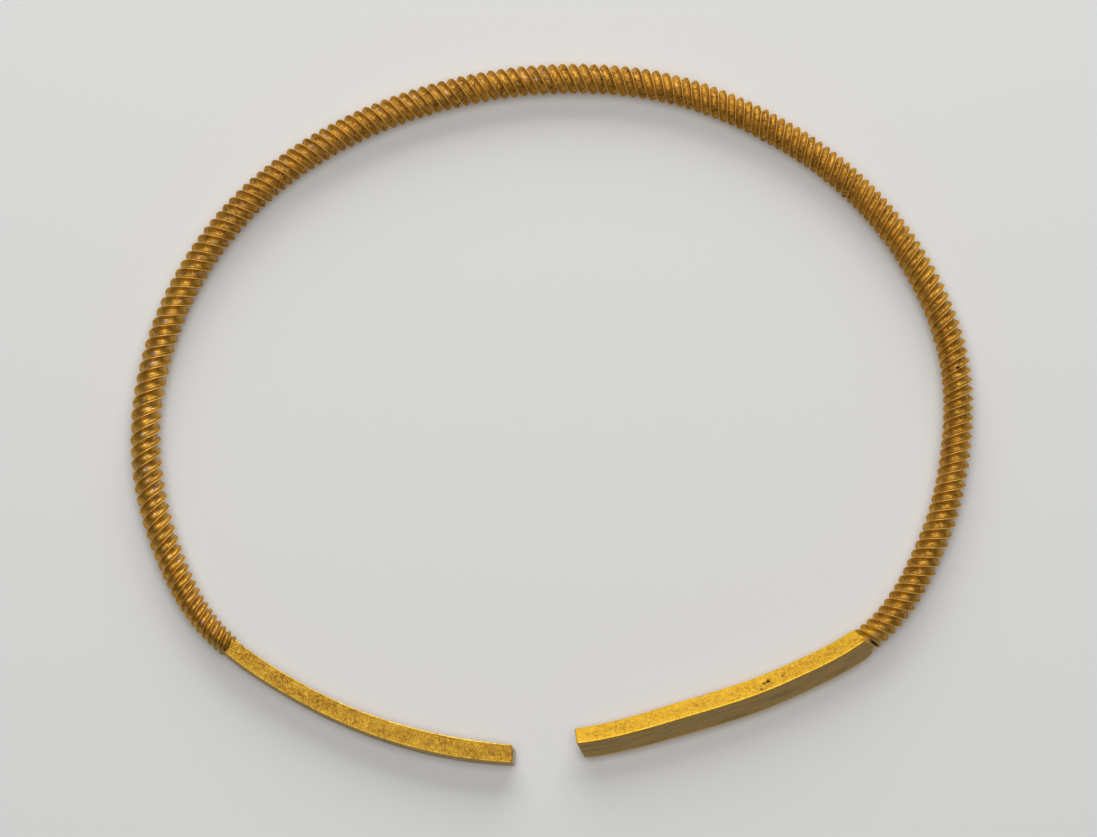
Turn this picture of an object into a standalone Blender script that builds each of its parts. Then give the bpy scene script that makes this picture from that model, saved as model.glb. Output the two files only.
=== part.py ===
"""A gold torc lying flat: a neck ring made of one bar of gold.

The middle of the bar is twisted like a screw, which gives it four crests with shallow flutes
between them.  Its two ends are left plain and square, and the whole is bent by hand to an open
oval.
Metres, +Z up.  The mouth of the ring faces -Y, and its left end lies at -X.
"""
import math

import bmesh
import bpy
import numpy as np

MM = 0.001

# Centre line of the bar, seen from above
HOOP_WIDTH = 154.5 * MM
HOOP_DEPTH = 129.5 * MM
MOUTH_GAP = 12.3 * MM
MOUTH_OFFSET = -0.9 * MM
# How far the bent bar stands from a true oval, at equal turns from its left end to its right end
HAND_BEND = (1.004, 1.013, 1.026, 1.046, 1.022, 1.003, 0.987, 0.981, 0.981, 0.980, 0.985, 0.998,
             1.012, 1.009, 1.008, 1.004, 1.005, 1.000, 1.009, 1.020, 0.975, 0.948, 0.967)

# Twisted length
TWIST_RADIUS = 2.98 * MM            # centre of the bar to its crests
TWIST_RADIUS_RIGHT = 2.76 * MM      # the same beside the right end
FLUTE_SHARE = 0.755                 # depth of the flutes: their floor as a share of the crest's radius
QUARTER_TURNS = 173                 # whole quarter turns of the twist
# How tight the twist is against its mean, at equal steps along the twisted length
TIGHTNESS = (1.356, 0.861, 0.792, 0.935, 1.068, 1.004, 0.963, 0.934, 1.054, 1.182, 1.000, 1.061,
             0.942, 1.059)
LEFT_SWELL = 38.0 * MM              # length over which the bar swells from its left end
RIGHT_SWELL = 20.0 * MM
FLUTE_RUN_OUT = 5.0 * MM            # length over which the flutes deepen beside each end
STATIONS_PER_TURN = 13

# Left end: a square bar, rolled a little so that its outer side shows from above
LEFT_LENGTH = 58.5 * MM
LEFT_SIDE = 3.50 * MM
LEFT_SIDE_SHARES = (1.006, 1.071, 1.051, 0.983, 0.946, 0.929)      # from the tip to the twist
LEFT_ROLL = math.radians(8.0)
LEFT_LEAN = math.radians(9.0)       # the end face leans back at its top
LEFT_CUT_ALONG = 0.60 * MM          # the inner corner of the tip is cut off
LEFT_CUT_ACROSS = 1.15 * MM

# Right end: a stouter square bar, rolled on to its edge
RIGHT_LENGTH = 57.4 * MM
RIGHT_SIDE = 4.35 * MM
RIGHT_SIDE_SHARES = (0.982, 1.007, 1.030, 1.041, 1.000, 0.947)     # from the twist to the tip
RIGHT_ROLL = math.radians(45.0)
RIGHT_SKEW = math.radians(12.5)     # the end face is cut askew, its inner side further out
RIGHT_LEAN = math.radians(12.5)     # and it leans forward at its top
SHOULDER_LENGTH = 1.6 * MM          # rounded step from the twisted length up to the right end
RISE_LENGTH = 30.0 * MM             # length over which the hoop rises to the stouter end

END_STATIONS = 14
CURVE_SAMPLES = 6000

QUARTER = math.pi / 2.0
EIGHTH = math.pi / 4.0
FLAT_SHARE = math.cos(EIGHTH)       # middle of a square's side, as a share of its corner's radius

GOLD_COLOUR = (0.80, 0.52, 0.14, 1.0)
GOLD_ROUGHNESS = 0.32


def ease(share):
    """Smooth step from 0 to 1."""
    share = np.clip(share, 0.0, 1.0)
    return share * share * (3.0 - 2.0 * share)


def smooth_values(values, share):
    """Smooth curve through equally spaced values, read at shares from 0 to 1 (and a little past)."""
    first = 2.0 * values[0] - values[1]
    last = 2.0 * values[-1] - values[-2]
    padded = np.array((first,) + tuple(values) + (last,))
    spans = len(values) - 1
    place = share * spans
    index = np.clip(np.floor(place).astype(int), 0, spans - 1)
    part = place - index
    before, here, after, beyond = (padded[index + step] for step in range(4))
    bend = 2.0 * before - 5.0 * here + 4.0 * after - beyond
    kink = 3.0 * (here - after) + beyond - before
    return here + 0.5 * part * (after - before + part * (bend + part * kink))


class CentreLine:
    """The bar's centre line in plan, measured by its length from the left tip."""

    def __init__(self):
        half_width = HOOP_WIDTH / 2.0
        half_depth = HOOP_DEPTH / 2.0
        left_reach = MOUTH_GAP / 2.0 - MOUTH_OFFSET
        right_reach = MOUTH_GAP / 2.0 + MOUTH_OFFSET
        start = math.asin(left_reach / (half_width * HAND_BEND[0]))
        stop = 2.0 * math.pi - math.asin(right_reach / (half_width * HAND_BEND[-1]))
        angles = np.linspace(start, stop, CURVE_SAMPLES)
        radius = smooth_values(HAND_BEND, (angles - start) / (stop - start))
        self.x = -half_width * radius * np.sin(angles)
        self.y = -half_depth * radius * np.cos(angles)
        steps = np.hypot(np.diff(self.x), np.diff(self.y))
        self.along = np.concatenate(((0.0,), np.cumsum(steps)))
        self.length = self.along[-1]
        self.heading = np.unwrap(np.arctan2(np.gradient(self.y), np.gradient(self.x)))

    def point(self, along):
        """Place on the line, in plan."""
        return np.array((np.interp(along, self.along, self.x), np.interp(along, self.along, self.y)))

    def forward(self, along):
        """Unit direction of the line."""
        heading = np.interp(along, self.along, self.heading)
        return np.array((math.cos(heading), math.sin(heading)))


LINE = CentreLine()
TWIST_START = LEFT_LENGTH
TWIST_STOP = LINE.length - RIGHT_LENGTH
TWIST_LENGTH = TWIST_STOP - TWIST_START
TOTAL_TWIST = QUARTER_TURNS * QUARTER + RIGHT_ROLL - LEFT_ROLL


def corner_radius(side, shares, place):
    """Centre to corner of a square bar whose side varies along its length."""
    return side * float(smooth_values(shares, place)) / math.sqrt(2.0)


def twist_table():
    """Length along the twisted part against the angle turned through."""
    share = np.linspace(0.0, 1.0, CURVE_SAMPLES)
    knots = np.linspace(0.0, 1.0, len(TIGHTNESS))
    rate = np.interp(share, knots, TIGHTNESS)
    turned = np.concatenate(((0.0,), np.cumsum((rate[1:] + rate[:-1]) / 2.0)))
    return TWIST_START + share * TWIST_LENGTH, turned / turned[-1] * TOTAL_TWIST


def crest_radius(along):
    """Centre of the bar to its crests or corners."""
    if along <= TWIST_START:
        return corner_radius(LEFT_SIDE, LEFT_SIDE_SHARES, along / LEFT_LENGTH)
    if along <= TWIST_STOP:
        left = corner_radius(LEFT_SIDE, LEFT_SIDE_SHARES, 1.0)
        still_slim = 1.0 - min(1.0, (along - TWIST_START) / LEFT_SWELL)
        radius = TWIST_RADIUS - (TWIST_RADIUS - left) * still_slim ** 2
        slim = TWIST_RADIUS - TWIST_RADIUS_RIGHT
        return radius - slim * ease((along - TWIST_STOP + RIGHT_SWELL) / RIGHT_SWELL)
    past = along - TWIST_STOP
    if past < SHOULDER_LENGTH:
        bulge = math.sin(QUARTER * past / SHOULDER_LENGTH)
        shoulder = corner_radius(RIGHT_SIDE, RIGHT_SIDE_SHARES, 0.0)
        return TWIST_RADIUS_RIGHT + (shoulder - TWIST_RADIUS_RIGHT) * bulge
    share = (past - SHOULDER_LENGTH) / (RIGHT_LENGTH - SHOULDER_LENGTH)
    return corner_radius(RIGHT_SIDE, RIGHT_SIDE_SHARES, share)


def floor_share(along):
    """Floor of the flutes, or middle of a flat side, as a share of the crest's radius."""
    depth = ease((along - TWIST_START) / FLUTE_RUN_OUT) * ease((TWIST_STOP - along) / FLUTE_RUN_OUT)
    return FLAT_SHARE + (FLUTE_SHARE - FLAT_SHARE) * depth


def reach_below(along):
    """How far the rolled right end reaches below its centre."""
    return crest_radius(along) * math.cos(EIGHTH - RIGHT_ROLL)


def height(along):
    """Centre line above the ground: the hoop lies on its crests, the right end on its lower edge."""
    rise_at_shoulder = max(0.0, reach_below(TWIST_STOP + SHOULDER_LENGTH) - TWIST_RADIUS)
    if along < TWIST_STOP + SHOULDER_LENGTH:
        start = TWIST_STOP + SHOULDER_LENGTH - RISE_LENGTH
        return TWIST_RADIUS + rise_at_shoulder * ease((along - start) / RISE_LENGTH)
    return TWIST_RADIUS + max(0.0, reach_below(along) - TWIST_RADIUS)


def section(along, turned):
    """Eight points round the bar, as (outward, up): crests and the floors between them.

    The angle turned through is measured from the roll of the left end.
    """
    crest = crest_radius(along)
    floor = crest * floor_share(along)
    points = []
    for index in range(8):
        radius = floor if index % 2 else crest
        angle = EIGHTH + LEFT_ROLL + turned + index * EIGHTH
        points.append((radius * math.cos(angle), radius * math.sin(angle)))
    return points


def ring(along, turned, points=None, lean=0.0, skew=0.0):
    """A section set across the bar at a length from its left tip, square to it or cut aslant."""
    place = LINE.point(along)
    forward = LINE.forward(along)
    outward = np.array((-forward[1], forward[0]))
    corners = []
    for out, up in points or section(along, turned):
        aslant = up * math.tan(lean) - out * math.tan(skew)
        plan = place + outward * out + forward * aslant
        corners.append((plan[0], plan[1], height(along) + up))
    return corners


def cut_corner(points):
    """The left tip's face, narrowed where its inner corner is cut off."""
    limit = LEFT_CUT_ACROSS - LEFT_SIDE * LEFT_SIDE_SHARES[0] / 2.0
    return [(max(out, limit), up) for out, up in points]


def left_end_rings():
    """Rings from the left tip up to the twist, the first one leaning and cut."""
    tip = ring(0.0, 0.0, cut_corner(section(0.0, 0.0)), LEFT_LEAN)
    beside_cut = ring(LEFT_CUT_ALONG, 0.0, lean=LEFT_LEAN)
    plain = np.linspace(LEFT_CUT_ALONG, TWIST_START, END_STATIONS)[1:-1]
    return [tip, beside_cut] + [ring(along, 0.0) for along in plain]


def twisted_rings():
    """Rings along the twist, set at equal angles of turn."""
    lengths, turned = twist_table()
    count = round(TOTAL_TWIST / (2.0 * math.pi) * STATIONS_PER_TURN)
    angles = np.linspace(0.0, TOTAL_TWIST, count + 1)
    return [ring(float(np.interp(angle, turned, lengths)), angle) for angle in angles]


def right_end_rings():
    """Rings from the twist to the right tip."""
    shoulder = [TWIST_STOP + SHOULDER_LENGTH * share for share in (0.35, 1.0)]
    plain = np.linspace(TWIST_STOP + SHOULDER_LENGTH, LINE.length, END_STATIONS)[1:-1]
    tip = ring(LINE.length, TOTAL_TWIST, lean=RIGHT_LEAN, skew=RIGHT_SKEW)
    return [ring(along, TOTAL_TWIST) for along in [*shoulder, *plain]] + [tip]


def skin(rings):
    """Close the rings into one body, each panel split along its shorter diagonal."""
    mesh = bmesh.new()
    loops = [[mesh.verts.new(point) for point in points] for points in rings]
    for here, after in zip(loops, loops[1:]):
        for index in range(len(here)):
            following = (index + 1) % len(here)
            a, b = here[index], here[following]
            c, d = after[following], after[index]
            if (a.co - c.co).length < (b.co - d.co).length:
                panels = ((a, b, c), (a, c, d))
            else:
                panels = ((a, b, d), (b, c, d))
            for panel in panels:
                mesh.faces.new(panel)
    mesh.faces.new(list(reversed(loops[0])))
    mesh.faces.new(loops[-1])
    bmesh.ops.recalc_face_normals(mesh, faces=mesh.faces)
    return mesh


def centre_on_ground(mesh):
    """Set the middle of the ring's box over the origin and its lowest point on the ground."""
    points = np.array([vertex.co[:] for vertex in mesh.verts])
    low, high = points.min(axis=0), points.max(axis=0)
    shift = ((low[0] + high[0]) / -2.0, (low[1] + high[1]) / -2.0, -low[2])
    bmesh.ops.translate(mesh, verts=mesh.verts, vec=shift)


def gold():
    """Worn, slightly satin gold."""
    material = bpy.data.materials.new("gold")
    material.use_nodes = True
    shader = material.node_tree.nodes["Principled BSDF"]
    shader.inputs["Base Color"].default_value = GOLD_COLOUR
    shader.inputs["Metallic"].default_value = 1.0
    shader.inputs["Roughness"].default_value = GOLD_ROUGHNESS
    return material


def build():
    """Make the torc."""
    for item in list(bpy.data.objects):
        bpy.data.objects.remove(item, do_unlink=True)
    mesh = skin(left_end_rings() + twisted_rings() + right_end_rings())
    centre_on_ground(mesh)
    data = bpy.data.meshes.new("gold_torc")
    mesh.to_mesh(data)
    mesh.free()
    data.materials.append(gold())
    torc = bpy.data.objects.new("gold_torc", data)
    bpy.context.scene.collection.objects.link(torc)


build()
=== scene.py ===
"""The looks of a gold torc: its fine shape, its worn gold and the table that it lies on.

The torc is one bar of gold, twisted like a screw in its middle, left plain and square at its
two ends, and bent by hand to an open oval.  Metres, +Z up; the mouth of the ring faces -Y.
"""
import math

import bpy
import numpy as np
from bpy.props import (
    FloatProperty,
    FloatVectorProperty,
    IntProperty,
    PointerProperty,
)
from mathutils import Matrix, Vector, noise


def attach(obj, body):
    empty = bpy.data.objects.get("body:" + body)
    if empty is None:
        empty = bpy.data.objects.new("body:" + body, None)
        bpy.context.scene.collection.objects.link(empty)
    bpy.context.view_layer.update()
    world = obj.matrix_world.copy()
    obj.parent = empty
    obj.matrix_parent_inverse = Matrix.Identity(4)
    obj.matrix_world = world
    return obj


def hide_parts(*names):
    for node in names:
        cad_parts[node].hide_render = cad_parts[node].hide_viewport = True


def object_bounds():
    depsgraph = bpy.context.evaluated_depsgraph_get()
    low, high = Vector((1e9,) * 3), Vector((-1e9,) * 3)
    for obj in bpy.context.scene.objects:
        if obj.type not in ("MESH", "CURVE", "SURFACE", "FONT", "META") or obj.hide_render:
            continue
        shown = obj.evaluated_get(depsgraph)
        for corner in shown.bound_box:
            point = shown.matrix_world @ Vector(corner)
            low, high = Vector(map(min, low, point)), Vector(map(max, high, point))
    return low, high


bl_info = {
    "name": "Gold torc",
    "version": (1, 0, 0),
    "blender": (4, 5, 0),
    "location": "3D View > Sidebar > Torc",
    "description": "Makes a twisted gold neck ring that lies on a pale table",
    "category": "Object",
}

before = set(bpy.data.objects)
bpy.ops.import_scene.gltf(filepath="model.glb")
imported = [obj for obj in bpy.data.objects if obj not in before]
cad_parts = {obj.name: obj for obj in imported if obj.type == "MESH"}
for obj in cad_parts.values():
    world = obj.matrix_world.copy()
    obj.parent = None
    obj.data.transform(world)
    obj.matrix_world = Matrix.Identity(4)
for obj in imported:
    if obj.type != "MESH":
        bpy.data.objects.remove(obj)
CAD_LOW, CAD_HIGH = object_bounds()

MM = 0.001
QUARTER = math.pi / 2.0
EIGHTH = math.pi / 4.0
FLAT_SHARE = math.cos(EIGHTH)
CURVE_SAMPLES = 6000

# Rings of points: their spacing along the plain ends, their places at each tip in millimetres,
# and their number on the step up to the right end
RING_SPACING = 0.36 * MM
TIP_RINGS = (0.0, 0.05, 0.14, 0.28)
SHOULDER_RINGS = 8

# Lengths over which the tips are blunted and the lean of the end faces dies away
BLUNT_LENGTH = 0.30 * MM
SLANT_LENGTH = 4.0 * MM

# Sizes of the slow and the quick waves in the surface, and of the patches rubbed off the crests
SLOW_WAVE = 2.3 * MM
QUICK_WAVE = 0.75 * MM
RUBBED_PATCH = 3.4 * MM

# Smallest and largest nick in the crests, in millimetres
NICK_SIZES = (0.20, 0.50)

# Where along the bar its least rubbed stretch starts and stops, each as (metres from the left tip,
# metres over which it changes)
LEAST_RUBBED = ((0.125, 0.035), (0.27, 0.04))

# How dark a mark is painted for its depth in millimetres, partly dirt and partly painted shade;
# more than 1 is painted black as deep shade
MARK_DEPTHS = (0.1, 0.2, 0.3, 0.4, 0.45)
MARK_DIRT_AND_SHADE = (0.4, 0.9, 1.1, 1.3, 2.2)

# Dents and pits that stand out, as (x, y, radius, depth) in millimetres, seen from above;
# where the depth is less than 0 it is a lump.  Dents are painted darker for their depth, partly
# dirt and partly painted shade; the three close together at about (61, -44) dent the slit at the
# right end's step and paint it black as shade
MARKS = (
    (9.6, 62.9, 0.40, 0.30), (9.5, 63.8, 0.45, 0.36), (11.0, 64.2, 0.36, 0.32),
    (14.6, 65.5, 0.50, 0.34), (16.7, 65.1, 0.45, 0.30), (5.3, 65.3, 0.32, 0.26),
    (7.2, 65.7, 0.32, 0.26), (-12.0, 59.2, 0.60, -0.16), (19.1, 58.9, 0.55, -0.14),
    (77.1, 8.2, 0.46, 0.50), (-78.6, 5.2, 0.45, 0.30), (-62.6, 38.6, 0.70, 0.28),
    (-60.2, 37.9, 0.50, 0.22), (9.1, -60.4, 0.24, 0.10), (10.2, -60.5, 0.24, 0.12),
    (40.7, -51.2, 0.62, 0.32), (40.0, -51.7, 0.55, 0.30), (11.9, -61.7, 0.32, 0.16),
    (60.2, -43.6, 0.42, 0.36), (60.8, -44.1, 0.44, 0.44), (61.4, -44.5, 0.42, 0.42),
    (52.0, -44.9, 0.50, 0.16), (-62.0, -45.4, 0.50, 0.30), (-58.4, -44.9, 0.50, 0.16),
    (58.6, -43.3, 0.90, 0.13), (59.6, -43.0, 0.80, 0.14), (43.5, -50.3, 0.50, 0.26),
    (39.4, -52.8, 0.50, 0.24), (63.6, -41.6, 0.36, 0.20), (-64.5, -33.0, 0.40, 0.20),
)

# Fineness of the chance clouds in the gold, the painted glints among them, as clouds a metre, and
# for the streaks in the grey painted reflection also by direction: along the bar, outwards and up
PATCHES, MOTTLE, GRAIN = 520.0, 1500.0, 5200.0
PAINTED_GLINT_FINENESS, DIRT = 900.0, 260.0
STREAKS = (150.0, 2600.0, 2600.0)

# Half the table top's side in metres, and the point that the camera looks at in millimetres
TABLE_HALF = 3.0
CAMERA_TARGET = (-0.70, -1.27, 2.98)


def length(label, tells, default):
    """A size in metres that a user may change."""
    return FloatProperty(name=label, description=tells, default=default, min=0.0,
                         unit="LENGTH", precision=5)


def share(label, tells, default):
    """A plain share or factor."""
    return FloatProperty(name=label, description=tells, default=default, precision=3)


class TorcShape(bpy.types.PropertyGroup):
    """Sizes of the bar and of the way it is bent."""

    hoop_width: length("Width", "Width of the oval that the bar follows", 154.5 * MM)
    hoop_depth: length("Depth", "Depth of the oval that the bar follows", 129.5 * MM)
    mouth_gap: length("Mouth", "Gap between the two ends", 12.3 * MM)
    mouth_offset: FloatProperty(
        name="Mouth offset", description="How far the mouth's middle lies to the side",
        default=-0.9 * MM, unit="LENGTH", precision=5)
    hand_bend: FloatVectorProperty(
        name="Hand bend", description="How far the bar stands from a true oval, along its length",
        size=23, precision=3,
        default=(1.004, 1.013, 1.026, 1.046, 1.022, 1.003, 0.987, 0.981, 0.981, 0.980, 0.985, 0.998,
                 1.012, 1.009, 1.008, 1.004, 1.005, 1.000, 1.009, 1.020, 0.975, 0.948, 0.967))
    twist_radius: length("Twist radius", "Centre of the bar to its crests", 2.98 * MM)
    twist_radius_right: length("Radius at the right", "The same beside the right end", 2.76 * MM)
    flute_hollow: share("Flute hollow", "Hollow of the flutes, as a share of the crest's radius",
                        0.012)
    wall_hollow: share("Wall hollow", "The same low on the walls beside each crest", 0.034)
    quarter_turns: IntProperty(name="Quarter turns", description="Whole quarter turns of the twist",
                               default=173, min=4)
    tightness: FloatVectorProperty(
        name="Tightness", description="How tight the twist is, along the twisted length",
        size=14, precision=3,
        default=(1.356, 0.861, 0.792, 0.935, 1.068, 1.004, 0.963, 0.934, 1.054, 1.182, 1.000, 1.061,
                 0.942, 1.059))
    left_swell: length("Left swell", "Length over which the twist swells from the left end",
                       38.0 * MM)
    right_swell: length("Right swell", "Length over which it slims to the right end", 20.0 * MM)
    run_out: length("Run-out", "Length over which the twist dies away towards each end", 5.0 * MM)
    worn_crest: share("Worn crest", "Rounding of the crests, as a share of half a side", 0.09)
    arris_left: share("Left arris", "Rounding of the left end's long edges, as the same share",
                      0.13)
    arris_right: share("Right arris", "The same at the right end", 0.045)
    left_length: length("Left length", "Length of the plain left end", 58.5 * MM)
    left_side: length("Left side", "Side of the square left end", 3.50 * MM)
    left_shares: FloatVectorProperty(
        name="Left shares", description="Shares of that side, from the tip to the twist",
        size=6, precision=3, default=(1.006, 1.071, 1.051, 0.983, 0.946, 0.929))
    left_roll: FloatProperty(name="Left roll", description="How far the left end is rolled",
                             default=math.radians(8.0), subtype="ANGLE")
    left_lean: FloatProperty(name="Left lean", description="How far the left end face leans back",
                             default=math.radians(9.0), subtype="ANGLE")
    left_cut_along: length("Cut length", "Length of the cut inner corner of the left tip",
                           0.60 * MM)
    left_cut_across: length("Cut width", "Width of that cut", 1.15 * MM)
    right_length: length("Right length", "Length of the plain right end", 57.4 * MM)
    right_side: length("Right side", "Side of the square right end", 4.35 * MM)
    right_shares: FloatVectorProperty(
        name="Right shares", description="Shares of that side, from the twist to the tip",
        size=6, precision=3, default=(0.982, 1.007, 1.030, 1.041, 1.000, 0.947))
    right_roll: FloatProperty(name="Right roll", description="How far the right end is rolled",
                              default=math.radians(45.0), subtype="ANGLE")
    right_skew: FloatProperty(
        name="Right skew", description="How far the right end face is cut askew",
        default=math.radians(12.5), subtype="ANGLE")
    right_lean: FloatProperty(
        name="Right lean", description="How far that face leans forward at its top",
        default=math.radians(12.5), subtype="ANGLE")
    shoulder_length: length("Shoulder", "Length of the step up to the right end", 1.6 * MM)
    rise_length: length("Rise", "Length over which the hoop rises to the stouter end", 30.0 * MM)
    rings_per_turn: IntProperty(name="Rings a turn", description="Rings of points in one turn",
                                default=39, min=8)
    points_round: IntProperty(
        name="Points round", description="Points round the bar, four times a whole number",
        default=48, min=8)


def colour(label, tells, default):
    """A colour that a user may change."""
    return FloatVectorProperty(name=label, description=tells, subtype="COLOR", size=4,
                               min=0.0, max=1.0, default=(*default, 1.0))


class TorcFinish(bpy.types.PropertyGroup):
    """Wear, colours and finish of the gold."""

    unevenness: length("Unevenness", "Height of the slow waves in the surface", 0.045 * MM)
    crest_wear: length("Crest wear", "How deep the crests are worn in places", 0.07 * MM)
    nick_depth: length("Nick depth", "Depth of the small nicks in the crests", 0.17 * MM)
    nick_count: IntProperty(name="Nicks", description="Number of small nicks in the crests",
                            default=150, min=0)
    seed: IntProperty(name="Seed", description="Start of the chance for nicks", default=7)
    crest_colour: colour("Crests", "Colour of the rubbed crests of the twist", (0.98, 0.70, 0.17))
    # Rubbed long edges of the ends, their brightness partly a painted highlight along the arrises
    edge_wear_and_highlight_colour: colour("Edges", "Colour of the rubbed long edges of the ends", (0.90, 0.56, 0.060))
    # The two end faces are one gold, the left painted darker as painted shade and the right painted
    # brighter as painted light
    left_face_painted_shade_colour: colour("Left end", "Colour of the left end's flat faces", (0.42, 0.235, 0.026))
    right_face_painted_light_colour: colour("Right end", "Colour of the right end's flat faces, rubbed brighter",
                         (0.78, 0.47, 0.037))
    flute_colour: colour("Flutes", "Colour down in the flutes", (0.66, 0.345, 0.043))
    dirt_colour: colour("Dirt", "Colour of the old brown dirt in the twist", (0.15, 0.072, 0.021))
    stain_tint: colour("Stains", "How the fine reddish stains darken the ends", (0.50, 0.36, 0.30))
    # Near black in the deep pits and the slit at the right end's step: partly dirt, partly painted
    # shade
    pit_dirt_and_shade_colour: colour("Pits", "Colour down in the deep pits", (0.012, 0.008, 0.005))
    # Painted glints of white light, greyish, low in some flutes
    flute_painted_glint_colour: colour("Haze", "Colour of the thin greyish haze low in some flutes",
                        (0.66, 0.50, 0.44))
    # Grey painted reflection on the outer sides of the ends, with lengthwise scratches
    side_painted_reflection_colour: colour("Film", "Colour of the dull film on the outer sides of the ends",
                        (0.46, 0.315, 0.13))
    scratch_colour: colour("Scratches", "Colour of the lengthwise scratches in that film",
                           (0.20, 0.125, 0.048))
    # Pale painted reflection on the two end faces
    tip_painted_reflection_colour: colour("Tips", "Colour of the pale film on the two end faces", (0.54, 0.47, 0.33))
    roughness: FloatProperty(name="Roughness", description="Roughness of the rubbed gold",
                             default=0.34, min=0.0, max=1.0, subtype="FACTOR")
    matt: FloatProperty(
        name="Matt", description="How much rougher the gold is where it was rubbed least",
        default=0.25, min=0.0, max=1.0, subtype="FACTOR")


class StageLook(bpy.types.PropertyGroup):
    """Table, lights and camera."""

    table_colour: FloatVectorProperty(
        name="Table", description="Colour of the table top", subtype="COLOR",
        size=4, min=0.0, max=1.0, default=(0.80, 0.795, 0.785, 1.0))
    behind_power: FloatProperty(
        name="Light behind", description="Power of the upright panel behind the torc",
        default=10.0, min=0.0, unit="POWER")
    above_power: FloatProperty(
        name="Light above", description="Power of the panel over the torc",
        default=6.8, min=0.0, unit="POWER")
    room_light: FloatProperty(
        name="Room light", description="Strength of the even light of the room",
        default=0.14, min=0.0)
    camera_height: FloatProperty(
        name="Camera height", description="Angle of the camera above the table",
        default=math.radians(84.0), subtype="ANGLE")
    camera_distance: length("Camera distance", "Distance of the camera from the torc", 0.9)
    camera_lens: FloatProperty(name="Lens", description="Focal length of the camera",
                               default=155.24, min=1.0, unit="CAMERA")


def ease(value):
    """Smooth step from 0 to 1."""
    value = np.clip(value, 0.0, 1.0)
    return value * value * (3.0 - 2.0 * value)


def smooth_values(values, place):
    """Smooth curve through equally spaced values, read at places from 0 to 1."""
    first = 2.0 * values[0] - values[1]
    last = 2.0 * values[-1] - values[-2]
    padded = np.array((first,) + tuple(values) + (last,))
    spans = len(values) - 1
    where = np.asarray(place) * spans
    index = np.clip(np.floor(where).astype(int), 0, spans - 1)
    part = where - index
    before, here, after, beyond = (padded[index + step] for step in range(4))
    bend = 2.0 * before - 5.0 * here + 4.0 * after - beyond
    kink = 3.0 * (here - after) + beyond - before
    return here + 0.5 * part * (after - before + part * (bend + part * kink))


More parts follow.
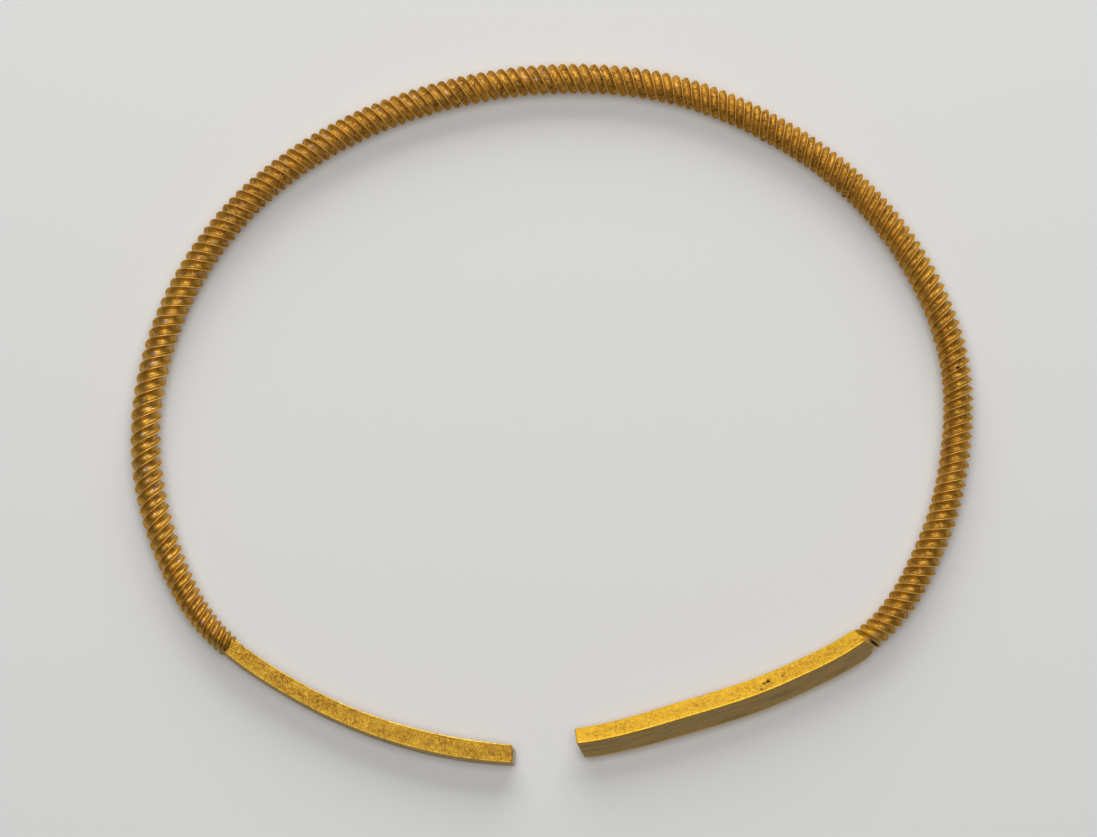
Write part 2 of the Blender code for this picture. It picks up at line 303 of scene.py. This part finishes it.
class Bar:
    """The bar's centre line and the measures of its section, by length from the left tip."""

    def __init__(self, shape):
        self.shape = shape
        half_width = shape.hoop_width / 2.0
        half_depth = shape.hoop_depth / 2.0
        bend = tuple(shape.hand_bend)
        left_reach = shape.mouth_gap / 2.0 - shape.mouth_offset
        right_reach = shape.mouth_gap / 2.0 + shape.mouth_offset
        start = math.asin(left_reach / (half_width * bend[0]))
        stop = 2.0 * math.pi - math.asin(right_reach / (half_width * bend[-1]))
        angles = np.linspace(start, stop, CURVE_SAMPLES)
        radius = smooth_values(bend, (angles - start) / (stop - start))
        self.x = -half_width * radius * np.sin(angles)
        self.y = -half_depth * radius * np.cos(angles)
        steps = np.hypot(np.diff(self.x), np.diff(self.y))
        self.along = np.concatenate(((0.0,), np.cumsum(steps)))
        self.length = self.along[-1]
        self.heading = np.unwrap(np.arctan2(np.gradient(self.y), np.gradient(self.x)))
        self.twist_start = shape.left_length
        self.twist_stop = self.length - shape.right_length
        self.total_twist = shape.quarter_turns * QUARTER + shape.right_roll - shape.left_roll
        even = np.linspace(0.0, 1.0, CURVE_SAMPLES)
        rate = np.interp(even, np.linspace(0.0, 1.0, len(shape.tightness)), tuple(shape.tightness))
        turned = np.concatenate(((0.0,), np.cumsum((rate[1:] + rate[:-1]) / 2.0)))
        self.twist_along = self.twist_start + even * (self.twist_stop - self.twist_start)
        self.twist_turned = turned / turned[-1] * self.total_twist

    def crest(self, along):
        """Centre of the bar to its crests or corners."""
        shape = self.shape
        corner = 1.0 / math.sqrt(2.0)
        left_place = np.clip(along / shape.left_length, 0.0, 1.0)
        left = shape.left_side * corner * smooth_values(shape.left_shares, left_place)
        past = along - self.twist_stop
        right_place = (past - shape.shoulder_length) / (shape.right_length - shape.shoulder_length)
        right_place = np.clip(right_place, 0.0, 1.0)
        right = shape.right_side * corner * smooth_values(shape.right_shares, right_place)
        root = shape.left_side * corner * shape.left_shares[-1]
        still_slim = 1.0 - np.clip((along - self.twist_start) / shape.left_swell, 0.0, 1.0)
        twist = shape.twist_radius - (shape.twist_radius - root) * still_slim ** 2
        slim = shape.twist_radius - shape.twist_radius_right
        twist = twist - slim * ease((past + shape.right_swell) / shape.right_swell)
        shoulder = shape.right_side * corner * shape.right_shares[0]
        bulge = np.sin(QUARTER * np.clip(past / shape.shoulder_length, 0.0, 1.0))
        step = shape.twist_radius_right + (shoulder - shape.twist_radius_right) * bulge
        radius = np.where(along <= self.twist_start, left, twist)
        radius = np.where(past > 0.0, step, radius)
        return np.where(past > shape.shoulder_length, right, radius)

    def height(self, along):
        """Centre line above the table."""
        shape = self.shape
        below = math.cos(EIGHTH - shape.right_roll)
        shoulder = self.twist_stop + shape.shoulder_length
        rise = max(0.0, float(self.crest(np.array(shoulder + 1e-6))) * below - shape.twist_radius)
        climbing = rise * ease((along - shoulder + shape.rise_length) / shape.rise_length)
        resting = np.maximum(0.0, self.crest(along) * below - shape.twist_radius)
        return shape.twist_radius + np.where(along < shoulder, climbing, resting)

    def fluting(self, along):
        """How far the twist is formed, 0 at the plain ends and 1 along the middle."""
        run_out = self.shape.run_out
        from_left = ease((along - self.twist_start) / run_out)
        return from_left * ease((self.twist_stop - along) / run_out)

    def rings(self):
        """Lengths and twist angles of the rings of points, from tip to tip."""
        shape = self.shape
        tip = np.array(TIP_RINGS) * MM
        left_count = round((shape.left_length - shape.left_cut_along) / RING_SPACING)
        left = np.linspace(shape.left_cut_along, shape.left_length, left_count + 1)[:-1]
        count = round(self.total_twist / (2.0 * math.pi) * shape.rings_per_turn)
        angles = np.linspace(0.0, self.total_twist, count + 1)
        middle = np.interp(angles, self.twist_turned, self.twist_along)
        shoulder = np.linspace(self.twist_stop, self.twist_stop + shape.shoulder_length,
                               SHOULDER_RINGS + 1)[1:]
        right_count = round((shape.right_length - shape.shoulder_length) / RING_SPACING)
        right = np.linspace(shoulder[-1], self.length - tip[-1], right_count)[1:]
        ending = self.length - tip[-2::-1]
        along = np.concatenate((tip, left, middle, shoulder, right, ending))
        return along, shape.left_roll + np.interp(along, self.twist_along, self.twist_turned)


def guide_of(bar):
    """The bar's centre line as a chain of points that carries the measures of each ring."""
    shape = bar.shape
    along, turned = bar.rings()
    heading = np.interp(along, bar.along, bar.heading)
    level = np.zeros_like(along)
    forward = np.stack((np.cos(heading), np.sin(heading), level), axis=1)
    outward = np.stack((-np.sin(heading), np.cos(heading), level), axis=1)
    points = np.stack((np.interp(along, bar.along, bar.x), np.interp(along, bar.along, bar.y),
                       bar.height(along)), axis=1)
    from_tip = np.minimum(along, bar.length - along)
    to_tip = 1.0 - np.clip(from_tip / BLUNT_LENGTH, 0.0, 1.0)
    rounding = 1.0 - 0.10 * (1.0 - np.sqrt(1.0 - to_tip ** 2))
    twist = bar.fluting(along)
    arris = np.where(along < bar.length / 2.0, shape.arris_left, shape.arris_right)
    arris = arris + (shape.worn_crest - arris) * twist
    full = 1.0 + (math.sqrt(2.0) - 1.0) * shape.worn_crest * FLAT_SHARE * twist
    cut_depth = np.clip(along / shape.left_cut_along, 0.0, 1.0)
    tip_half = shape.left_side * shape.left_shares[0] / 2.0
    cut = np.where(cut_depth < 1.0, -tip_half + shape.left_cut_across * (1.0 - cut_depth), -1.0)
    at_left = 1.0 - np.clip(along / SLANT_LENGTH, 0.0, 1.0)
    at_right = 1.0 - np.clip((bar.length - along) / SLANT_LENGTH, 0.0, 1.0)
    lean = math.tan(shape.left_lean) * at_left + math.tan(shape.right_lean) * at_right
    skew = math.tan(shape.right_skew) * at_right
    mesh = bpy.data.meshes.new("bar_guide")
    edges = [(index, index + 1) for index in range(len(along) - 1)]
    mesh.from_pydata(points.tolist(), edges, [])
    numbers = {"along": along, "turned": turned, "crest": bar.crest(along) * rounding * full,
               "flute": twist, "cut": cut, "lean": lean, "skew": skew, "arris": arris}
    for name, values in numbers.items():
        mesh.attributes.new(name, "FLOAT", "POINT").data.foreach_set("value", values)
    for name, values in {"forward": forward, "outward": outward, "centre": points}.items():
        carried = mesh.attributes.new(name, "FLOAT_VECTOR", "POINT")
        carried.data.foreach_set("vector", values.ravel())
    return mesh


class Wiring:
    """Short ways to add and join nodes in one tree."""

    def __init__(self, tree):
        self.tree = tree

    def node(self, kind, settings=None, **inputs):
        """Add a node, set its properties and feed its inputs by name."""
        made = self.tree.nodes.new(kind)
        for name, value in (settings or {}).items():
            setattr(made, name, value)
        for name, value in inputs.items():
            self.feed(made.inputs[name.replace("_", " ")], value)
        return made

    def feed(self, socket, value):
        """Link a socket, or set its own value."""
        if isinstance(value, bpy.types.NodeSocket):
            self.tree.links.new(value, socket)
        else:
            socket.default_value = value

    def math(self, operation, *values):
        """One step of arithmetic."""
        made = self.tree.nodes.new("ShaderNodeMath")
        made.operation = operation
        for socket, value in zip(made.inputs, values):
            self.feed(socket, value)
        return made.outputs[0]

    def plus(self, first, second):
        """The first and the second together."""
        return self.math("ADD", first, second)

    def minus(self, first, second):
        """The first less the second."""
        return self.math("SUBTRACT", first, second)

    def times(self, first, second):
        """The first times the second."""
        return self.math("MULTIPLY", first, second)

    def rest(self, value):
        """What the value lacks to 1."""
        return self.math("SUBTRACT", 1.0, value)

    def vector(self, operation, *values, scale=None):
        """One step of arithmetic on vectors."""
        made = self.tree.nodes.new("ShaderNodeVectorMath")
        made.operation = operation
        for socket, value in zip(made.inputs, values):
            self.feed(socket, value)
        if scale is not None:
            self.feed(made.inputs["Scale"], scale)
        return made.outputs[0]

    def read(self, name, kind="FLOAT"):
        """A measure that the points carry."""
        made = self.node("GeometryNodeInputNamedAttribute", {"data_type": kind}, Name=name)
        return made.outputs["Attribute"]

    def keep(self, geometry, name, value, kind="FLOAT"):
        """Let the points carry a measure."""
        made = self.node("GeometryNodeStoreNamedAttribute", {"data_type": kind, "domain": "POINT"},
                         Geometry=geometry, Name=name, Value=value)
        return made.outputs["Geometry"]


def sweep_tree():
    """Node tree that lays a square section with worn corners round every point of the guide."""
    tree = bpy.data.node_groups.new("Fluted bar", "GeometryNodeTree")
    face = tree.interface
    face.new_socket("Geometry", in_out="INPUT", socket_type="NodeSocketGeometry")
    face.new_socket("Geometry", in_out="OUTPUT", socket_type="NodeSocketGeometry")
    for label, kind, default in (("Points Round", "NodeSocketInt", 48),
                                 ("Flute Hollow", "NodeSocketFloat", 0.01),
                                 ("Wall Hollow", "NodeSocketFloat", 0.02)):
        face.new_socket(label, in_out="INPUT", socket_type=kind).default_value = default
    face.new_socket("Material", in_out="INPUT", socket_type="NodeSocketMaterial")
    wire = Wiring(tree)
    given = tree.nodes.new("NodeGroupInput").outputs
    points = given["Points Round"]
    depth = wire.read("flute")

    circle = wire.node("GeometryNodeCurvePrimitiveCircle", Resolution=points, Radius=MM)
    index = tree.nodes.new("GeometryNodeInputIndex").outputs[0]
    profile = wire.keep(circle.outputs["Curve"], "step", index)
    line = wire.node("GeometryNodeMeshToCurve", Mesh=given["Geometry"])
    tube = wire.node("GeometryNodeCurveToMesh", Curve=line.outputs["Curve"],
                     Profile_Curve=profile, Fill_Caps=True)

    # How far each point is from the nearest crest, 0 on it and 1 in the middle of a flute,
    # with the points set closer near the crests
    per_flange = wire.math("DIVIDE", points, 4.0)
    flanges = wire.math("DIVIDE", wire.read("step"), per_flange)
    nearest = wire.math("FLOOR", wire.plus(flanges, 0.5))
    apart = wire.times(wire.minus(flanges, nearest), 2.0)
    steps = wire.math("ABSOLUTE", apart)
    even = wire.plus(wire.times(depth, 0.25), 0.15)
    crowded = wire.times(wire.math("POWER", steps, 3.0), wire.rest(even))
    away = wire.plus(wire.times(steps, even), crowded)
    signed = wire.times(wire.math("SIGN", apart), away)
    angle = wire.times(wire.plus(signed, wire.times(nearest, 2.0)), EIGHTH)
    angle = wire.plus(wire.plus(angle, EIGHTH), wire.read("turned"))

    # The section's radius there: a flat or hollow side that runs into a round corner
    from_side = wire.times(wire.rest(away), EIGHTH)
    from_crest = wire.times(away, EIGHTH)
    worn = wire.times(wire.read("arris"), FLAT_SHARE)
    inner = wire.rest(wire.read("arris"))
    across = wire.times(inner, wire.math("SINE", from_crest))
    below = wire.minus(wire.times(worn, worn), wire.times(across, across))
    corner = wire.plus(wire.times(inner, wire.math("COSINE", from_crest)),
                       wire.math("SQRT", wire.math("MAXIMUM", below, 0.0)))
    tangent = wire.math("ARCTANGENT", inner)
    inwards = wire.math("DIVIDE", from_side, tangent)
    squared = wire.times(inwards, inwards)
    dip = wire.times(given["Wall Hollow"], wire.times(squared, 4.0))
    hollow = wire.plus(given["Flute Hollow"], dip)
    hollow = wire.times(wire.times(hollow, depth), wire.rest(squared))
    side = wire.minus(wire.math("DIVIDE", FLAT_SHARE, wire.math("COSINE", from_side)), hollow)
    on_corner = wire.math("GREATER_THAN", from_side, tangent)
    radius = wire.plus(side, wire.times(wire.minus(corner, side), on_corner))
    radius = wire.times(radius, wire.read("crest"))

    # Its place: out from the centre line and up, with the leaning end faces and the cut corner
    out = wire.times(radius, wire.math("COSINE", angle))
    out = wire.math("MAXIMUM", out, wire.read("cut"))
    up = wire.times(radius, wire.math("SINE", angle))
    leaning = wire.minus(wire.times(up, wire.read("lean")), wire.times(out, wire.read("skew")))
    outwards = wire.vector("SCALE", wire.read("outward", "FLOAT_VECTOR"), scale=out)
    onwards = wire.vector("SCALE", wire.read("forward", "FLOAT_VECTOR"), scale=leaning)
    rise = wire.node("ShaderNodeCombineXYZ", Z=up).outputs[0]
    place = wire.vector("ADD", wire.read("centre", "FLOAT_VECTOR"), outwards)
    place = wire.vector("ADD", wire.vector("ADD", place, onwards), rise)
    local = wire.node("ShaderNodeCombineXYZ", X=wire.read("along"), Y=out, Z=up).outputs[0]

    shell = wire.keep(tube.outputs["Mesh"], "away", away)
    shell = wire.keep(shell, "bar", local, "FLOAT_VECTOR")
    shell = wire.node("GeometryNodeSetPosition", Geometry=shell, Position=place).outputs[0]
    shell = wire.node("GeometryNodeSetShadeSmooth", Geometry=shell).outputs[0]
    shell = wire.node("GeometryNodeRealizeInstances", Geometry=shell).outputs[0]
    shell = wire.node("GeometryNodeSetMaterial", Geometry=shell,
                      Material=given["Material"]).outputs[0]
    tree.links.new(shell, tree.nodes.new("NodeGroupOutput").inputs[0])
    return tree


def swept(guide, shape, material):
    """Run the tree on the guide and take its result as a plain mesh."""
    tree = sweep_tree()
    holder = bpy.data.objects.new("bar_guide", guide)
    bpy.context.scene.collection.objects.link(holder)
    modifier = holder.modifiers.new("Fluted bar", "NODES")
    modifier.node_group = tree
    values = {"Points Round": shape.points_round, "Flute Hollow": shape.flute_hollow,
              "Wall Hollow": shape.wall_hollow, "Material": material}
    for item in tree.interface.items_tree:
        if item.in_out == "INPUT" and item.name in values:
            modifier[item.identifier] = values[item.name]
    graph = bpy.context.evaluated_depsgraph_get()
    mesh = bpy.data.meshes.new_from_object(holder.evaluated_get(graph), depsgraph=graph)
    bpy.data.objects.remove(holder, do_unlink=True)
    bpy.data.node_groups.remove(tree)
    return mesh


def values_of(mesh, name, width=1):
    """A carried measure as an array."""
    data = mesh.attributes[name].data
    values = np.zeros(len(data) * width)
    data.foreach_get("vector" if width == 3 else "value", values)
    return values.reshape(-1, width) if width > 1 else values


def points_of(mesh):
    """The mesh's points as an array."""
    values = np.zeros(len(mesh.vertices) * 3)
    mesh.vertices.foreach_get("co", values)
    return values.reshape(-1, 3)


def face_outwards(mesh):
    """Turn the faces round if they enclose the bar inside out."""
    mesh.calc_loop_triangles()
    corners = np.zeros(len(mesh.loop_triangles) * 3, dtype=np.int32)
    mesh.loop_triangles.foreach_get("vertices", corners)
    a, b, c = (points_of(mesh)[corners.reshape(-1, 3)[:, side]] for side in range(3))
    if np.einsum("ij,ij->i", a, np.cross(b, c)).sum() < 0.0:
        mesh.flip_normals()


def clean_up(mesh, kept):
    """Drop the measures that the finished mesh doesn't need."""
    for name in [item.name for item in mesh.attributes]:
        item = mesh.attributes[name]
        if not (item.is_required or item.is_internal or name in kept):
            mesh.attributes.remove(item)


def waves(points, size):
    """Smooth chance waves from -1 to 1, about so many metres from crest to crest."""
    return np.array([noise.noise(Vector(point) / size) for point in points])


def wear(mesh, points, bar, finish):
    """Give back the points waved, rubbed, nicked and dented, and note where dirt, painted shade and
    painted reflections lie.
    """
    local = values_of(mesh, "bar", 3)
    away = values_of(mesh, "away")
    along = local[:, 0]
    from_tip = np.minimum(along, bar.length - along)
    heading = np.interp(along, bar.along, bar.heading)
    reach = np.maximum(np.hypot(local[:, 1], local[:, 2]), 1e-6)
    out, up = local[:, 1] / reach, local[:, 2] / reach
    radial = np.stack((-np.sin(heading) * out, np.cos(heading) * out, up), axis=1)
    twist = bar.fluting(along)
    off_tip = np.clip(from_tip / (0.5 * MM), 0.0, 1.0)

    # Slow waves all over, and crests rubbed low in patches; the shifts keep the waves apart
    slow, quick = waves(points, SLOW_WAVE), waves(points + 0.31, QUICK_WAVE)
    rise = finish.unevenness * (0.35 + 0.65 * twist) * (0.6 * slow + 0.5 * quick)
    crest = np.clip(1.0 - away / 0.30, 0.0, 1.0)
    rubbed = np.clip(waves(points + 0.77, RUBBED_PATCH) + 0.05, 0.0, 1.0)
    rubbed = rubbed + np.clip(quick, 0.0, 1.0) * 0.5
    rise = rise - finish.crest_wear * rubbed * crest * (0.25 + 0.75 * twist)
    dirt_and_shade_in_marks = np.zeros_like(along)

    # Small nicks by chance in the upper crests, darkened a little as dirt and painted shade
    chance = np.random.default_rng(finish.seed)
    crests = np.flatnonzero((away < 0.02) & (points[:, 2] > bar.shape.twist_radius))
    for index in chance.choice(crests, size=finish.nick_count, replace=False):
        size = chance.uniform(*NICK_SIZES) * MM
        near = np.clip(1.0 - ((points - points[index]) ** 2).sum(axis=1) / size ** 2, 0.0, 1.0)
        depth = finish.nick_depth * chance.uniform(0.3, 1.0) * (0.35 + 0.65 * twist[index])
        rise = rise - depth * near ** 2
        dirt_and_shade_in_marks = np.maximum(dirt_and_shade_in_marks, 0.55 * near)

    # The marks that stand out, on the upper side only, darkened for their depth as dirt and painted
    # shade
    for x, y, size, depth in MARKS:
        flat = np.hypot(points[:, 0] / MM - x, points[:, 1] / MM - y) / size
        near = np.clip(1.0 - flat ** 2, 0.0, 1.0) * (up > 0.1)
        rise = rise - depth * MM * near ** 2
        dirt_and_shade_in_marks = np.maximum(dirt_and_shade_in_marks, near * np.interp(abs(depth), MARK_DEPTHS, MARK_DIRT_AND_SHADE))

    # Grey painted reflection on the outer sides of the ends, up to 1, and pale painted reflection
    # on the end faces, up to 2
    angle = np.arctan2(local[:, 2], local[:, 1])
    roll = np.where(along < bar.length / 2.0, bar.shape.left_roll, bar.shape.right_roll)
    from_middle = np.abs(angle - roll) / EIGHTH
    painted_reflection = np.clip((1.02 - from_middle) / 0.10, 0.0, 1.0) * (1.0 - twist)
    painted_reflection = painted_reflection * np.clip((away - 0.03) / 0.07, 0.0, 1.0)
    painted_reflection = np.clip(painted_reflection + 2.0 * np.clip(1.0 - from_tip / (0.12 * MM), 0.0, 1.0), 0.0, 2.0)

    right = (along > bar.length / 2.0).astype(float)
    start, stop = (ease((along - place) / change) for place, change in LEAST_RUBBED)
    matt = 0.25 + 0.75 * start * (1.0 - 0.70 * stop)
    carried = {"dirt_and_shade_in_marks": dirt_and_shade_in_marks, "painted_reflection": painted_reflection, "plain": 1.0 - twist, "right": right, "matt": matt}
    for name, values in carried.items():
        mesh.attributes.new(name, "FLOAT", "POINT").data.foreach_set("value", values)
    clean_up(mesh, ("bar", "away", *carried))
    return points + radial * (rise * off_tip)[:, None]


def gold_material(finish):
    """Satin gold with rubbed crests, mottled brown flutes, outer sides painted grey as a
    reflection, and other painted glints, highlights and shade.
    """
    material = bpy.data.materials.new("gold")
    material.use_nodes = True
    tree = material.node_tree
    wire = Wiring(tree)
    shader = tree.nodes["Principled BSDF"]
    place = wire.node("ShaderNodeTexCoord").outputs["Object"]

    def carried(name, output="Fac"):
        """A measure that the mesh carries."""
        return wire.node("ShaderNodeAttribute", {"attribute_name": name}).outputs[output]

    def cloud(scale, detail, where=place):
        """Chance clouds from 0 to 1."""
        return wire.node("ShaderNodeTexNoise", Vector=where, Scale=scale, Detail=detail,
                         Roughness=0.62).outputs[0]

    def ramp(value, low, high, bottom=0.0, top=1.0):
        """Smooth way from bottom to top while the value goes from low to high."""
        return wire.node("ShaderNodeMapRange", {"interpolation_type": "SMOOTHSTEP"}, Value=value,
                         From_Min=low, From_Max=high, To_Min=bottom, To_Max=top).outputs[0]

    def blend(amount, first, second):
        """The first colour where the amount is 0 and the second where it is 1."""
        made = wire.node("ShaderNodeMix", {"data_type": "RGBA"})
        for socket, value in zip((0, 6, 7), (amount, first, second)):
            ready = isinstance(value, (float, bpy.types.NodeSocket))
            wire.feed(made.inputs[socket], value if ready else tuple(value))
        return made.outputs[2]

    patches, mottle, grain = cloud(PATCHES, 3.0), cloud(MOTTLE, 4.0), cloud(GRAIN, 2.0)
    streaks = cloud(1.0, 3.0, wire.vector("MULTIPLY", carried("bar", "Vector"), STREAKS))
    away, dirt_and_shade_in_marks, painted_reflection = carried("away"), carried("dirt_and_shade_in_marks"), carried("painted_reflection")
    plain, right, matt = carried("plain"), carried("right"), carried("matt")

    # Clean gold: flutes with painted glints in the left half, end faces with painted light and
    # shade, and rubbed crests and edges, the edges partly a painted highlight
    # Painted glints: greyish patches low in the flutes of the left half
    painted_glints = wire.times(ramp(away, 0.35, 0.8), ramp(cloud(PAINTED_GLINT_FINENESS, 2.0), 0.57, 0.69, 0.0, 0.85))
    flutes = blend(wire.times(painted_glints, wire.rest(right)), finish.flute_colour, finish.flute_painted_glint_colour)
    # End faces: the left one painted darker as painted shade, the right one brighter as painted
    # light
    faces = blend(right, finish.left_face_painted_shade_colour, finish.right_face_painted_light_colour)
    # Bright edges: partly rubbed gold, partly a painted highlight
    edges = blend(wire.times(right, 0.6), finish.edge_wear_and_highlight_colour, faces)
    off_crest = wire.times(ramp(away, 0.015, 0.13), ramp(patches, 0.28, 0.52, 0.7, 1.0))
    tone = blend(off_crest, blend(plain, finish.crest_colour, edges), blend(plain, flutes, faces))

    # Brown dirt in the twist and reddish stains on the ends, thin on the crests, and darker nicks
    # and marks, where the darkening is partly painted shade
    on_crest = wire.rest(ramp(away, 0.02, 0.12))
    fineness = wire.plus(0.38, wire.times(plain, 0.20))
    spots = wire.plus(wire.times(mottle, wire.rest(fineness)), wire.times(grain, fineness))
    spots = wire.plus(spots, wire.times(ramp(away, 0.1, 0.8), 0.03))
    thick = wire.plus(0.48, wire.times(matt, 0.38))
    thick = wire.math("MAXIMUM", thick, wire.times(plain, 0.85))
    thick = wire.times(thick, ramp(cloud(DIRT, 2.0), 0.35, 0.62, 0.6, 1.1))
    thick = wire.times(thick, wire.rest(wire.times(on_crest, 0.6)))
    dirt = wire.math("MAXIMUM", wire.times(ramp(spots, 0.445, 0.63), thick),
                     wire.times(dirt_and_shade_in_marks, ramp(mottle, 0.30, 0.55, 0.55, 1.0)))
    dirt = wire.math("MINIMUM", dirt, 0.97)
    stains = wire.vector("MULTIPLY", faces, tuple(finish.stain_tint)[:3])
    tone = blend(dirt, tone, blend(plain, finish.dirt_colour, stains))

    # Grey painted reflection with scratches on the outer sides, pale painted reflection on the
    # tips, and pits painted black, partly dirt and partly painted shade
    painted_grey_side = wire.times(wire.math("MINIMUM", painted_reflection, 1.0), ramp(streaks, 0.30, 0.66, 0.78, 1.0))
    scratches = ramp(streaks, 0.50, 0.60, 0.0, 0.42)
    tone = blend(painted_grey_side, tone, blend(scratches, finish.side_painted_reflection_colour, finish.scratch_colour))
    tone = blend(ramp(painted_reflection, 1.0, 2.0, 0.0, 0.9), tone, finish.tip_painted_reflection_colour)
    # Pits painted near black: partly dirt and partly painted shade
    depth = wire.times(dirt_and_shade_in_marks, wire.plus(1.0, wire.times(plain, 0.8)))
    tone = blend(ramp(depth, 1.05, 1.6), tone, finish.pit_dirt_and_shade_colour)
    tree.links.new(tone, shader.inputs["Base Color"])

    # Less like metal under dirt, under the grey painted reflection and on the crests
    metal = wire.minus(wire.rest(wire.times(dirt, 0.25)), wire.times(painted_grey_side, 0.35))
    metal = wire.minus(metal, wire.times(wire.times(on_crest, wire.rest(plain)), 0.28))
    tree.links.new(wire.math("MAXIMUM", metal, 0.0), shader.inputs["Metallic"])

    # Rougher where it is dirty, under the grey painted reflection, and where it was little rubbed
    rough = ramp(grain, 0.3, 0.7, finish.roughness - 0.06, finish.roughness + 0.10)
    rough = wire.plus(rough, wire.times(dirt, 0.18))
    rough = wire.plus(rough, wire.times(matt, finish.matt))
    tree.links.new(wire.plus(rough, wire.times(painted_grey_side, 0.10)), shader.inputs["Roughness"])

    coarse = wire.node("ShaderNodeBump", Height=mottle, Strength=0.36, Distance=0.06 * MM)
    fine = wire.node("ShaderNodeBump", Height=grain, Strength=0.5, Distance=0.02 * MM,
                     Normal=coarse.outputs[0])
    tree.links.new(fine.outputs[0], shader.inputs["Normal"])
    return material


def aim(item, place, target):
    """Set a light or camera down, looking at a point, with its top towards +Y or up."""
    item.location = place
    item.rotation_euler = (Vector(target) - Vector(place)).to_track_quat("-Z", "Y").to_euler()


class TORC_OT_make_bar(bpy.types.Operator):
    """Make the torc's one bar of gold"""

    bl_idname = "torc.make_bar"
    bl_label = "Make the gold bar"

    def execute(self, context):
        shape, finish = context.scene.torc_shape, context.scene.torc_finish
        bar = Bar(shape)
        guide = guide_of(bar)
        mesh = swept(guide, shape, gold_material(finish))
        bpy.data.meshes.remove(guide)
        mesh.name = "torc_bar"
        points = points_of(mesh)
        middle = (np.array(CAD_LOW) + np.array(CAD_HIGH)) / 2.0
        points = points + middle - (points.min(axis=0) + points.max(axis=0)) / 2.0
        points = wear(mesh, points, bar, finish)
        points[:, 2] -= points[:, 2].min()
        mesh.vertices.foreach_set("co", points.ravel())
        mesh.update()
        face_outwards(mesh)
        torc = bpy.data.objects.new("torc_bar", mesh)
        context.scene.collection.objects.link(torc)
        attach(torc, "root")
        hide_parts("gold_torc")
        return {"FINISHED"}


class TORC_OT_set_stage(bpy.types.Operator):
    """Make the pale table, the soft lights and the camera"""

    bl_idname = "torc.set_stage"
    bl_label = "Set the stage"

    def execute(self, context):
        look = context.scene.torc_stage
        mesh = bpy.data.meshes.new("table_top")
        corners = [(x * TABLE_HALF, y * TABLE_HALF, 0.0)
                   for x, y in ((-1, -1), (1, -1), (1, 1), (-1, 1))]
        mesh.from_pydata(corners, [], [(0, 1, 2, 3)])
        material = bpy.data.materials.new("table")
        material.use_nodes = True
        shader = material.node_tree.nodes["Principled BSDF"]
        shader.inputs["Base Color"].default_value = look.table_colour
        shader.inputs["Roughness"].default_value = 0.7
        mesh.materials.append(material)
        table = bpy.data.objects.new("table_top", mesh)
        context.scene.collection.objects.link(table)

        # Each panel's name, width and height, power and place; all face the middle of the torc
        panels = (("light_behind", (1.2, 0.72), look.behind_power, (0.0, 1.0, 0.52)),
                  ("light_above", (1.0, 0.9), look.above_power, (0.0, 0.0, 1.20)))
        for name, sides, power, place in panels:
            lamp = bpy.data.lights.new(name, "AREA")
            lamp.shape = "RECTANGLE"
            lamp.size, lamp.size_y = sides
            lamp.energy = power
            item = bpy.data.objects.new(name, lamp)
            aim(item, place, (0.0, 0.0, 0.0))
            context.scene.collection.objects.link(item)

        world = bpy.data.worlds.new("room")
        world.use_nodes = True
        sky = world.node_tree.nodes["Background"]
        sky.inputs["Color"].default_value = (1.0, 1.0, 1.0, 1.0)
        sky.inputs["Strength"].default_value = look.room_light
        context.scene.world = world
        context.scene.view_settings.view_transform = "Standard"

        lens = bpy.data.cameras.new("camera")
        lens.lens = look.camera_lens
        lens.sensor_width = 36.0
        lens.clip_start = 0.01
        camera = bpy.data.objects.new("camera", lens)
        target = Vector(CAMERA_TARGET) * MM
        back = Vector((0.0, -math.cos(look.camera_height), math.sin(look.camera_height)))
        aim(camera, target + back * look.camera_distance, target)
        context.scene.collection.objects.link(camera)
        context.scene.camera = camera
        return {"FINISHED"}


class TORC_PT_panel(bpy.types.Panel):
    """The torc's steps and sizes"""

    bl_idname = "TORC_PT_panel"
    bl_label = "Gold torc"
    bl_space_type = "VIEW_3D"
    bl_region_type = "UI"
    bl_category = "Torc"

    def draw(self, context):
        layout = self.layout
        for group in ("torc_shape", "torc_finish", "torc_stage"):
            settings = getattr(context.scene, group)
            box = layout.box()
            for name in settings.__annotations__:
                box.prop(settings, name)
        for step in STEPS:
            layout.operator(step.bl_idname)


STEPS = (TORC_OT_make_bar, TORC_OT_set_stage)
CLASSES = (TorcShape, TorcFinish, StageLook, *STEPS, TORC_PT_panel)


def register():
    """Add the classes, and the settings to the scene."""
    for kind in CLASSES:
        bpy.utils.register_class(kind)
    bpy.types.Scene.torc_shape = PointerProperty(type=TorcShape)
    bpy.types.Scene.torc_finish = PointerProperty(type=TorcFinish)
    bpy.types.Scene.torc_stage = PointerProperty(type=StageLook)


def unregister():
    """Take away what register added."""
    del bpy.types.Scene.torc_stage
    del bpy.types.Scene.torc_finish
    del bpy.types.Scene.torc_shape
    for kind in reversed(CLASSES):
        bpy.utils.unregister_class(kind)


def main():
    """Make the torc and its stage."""
    register()
    bpy.ops.torc.make_bar()
    bpy.ops.torc.set_stage()


if __name__ == "__main__":
    main()
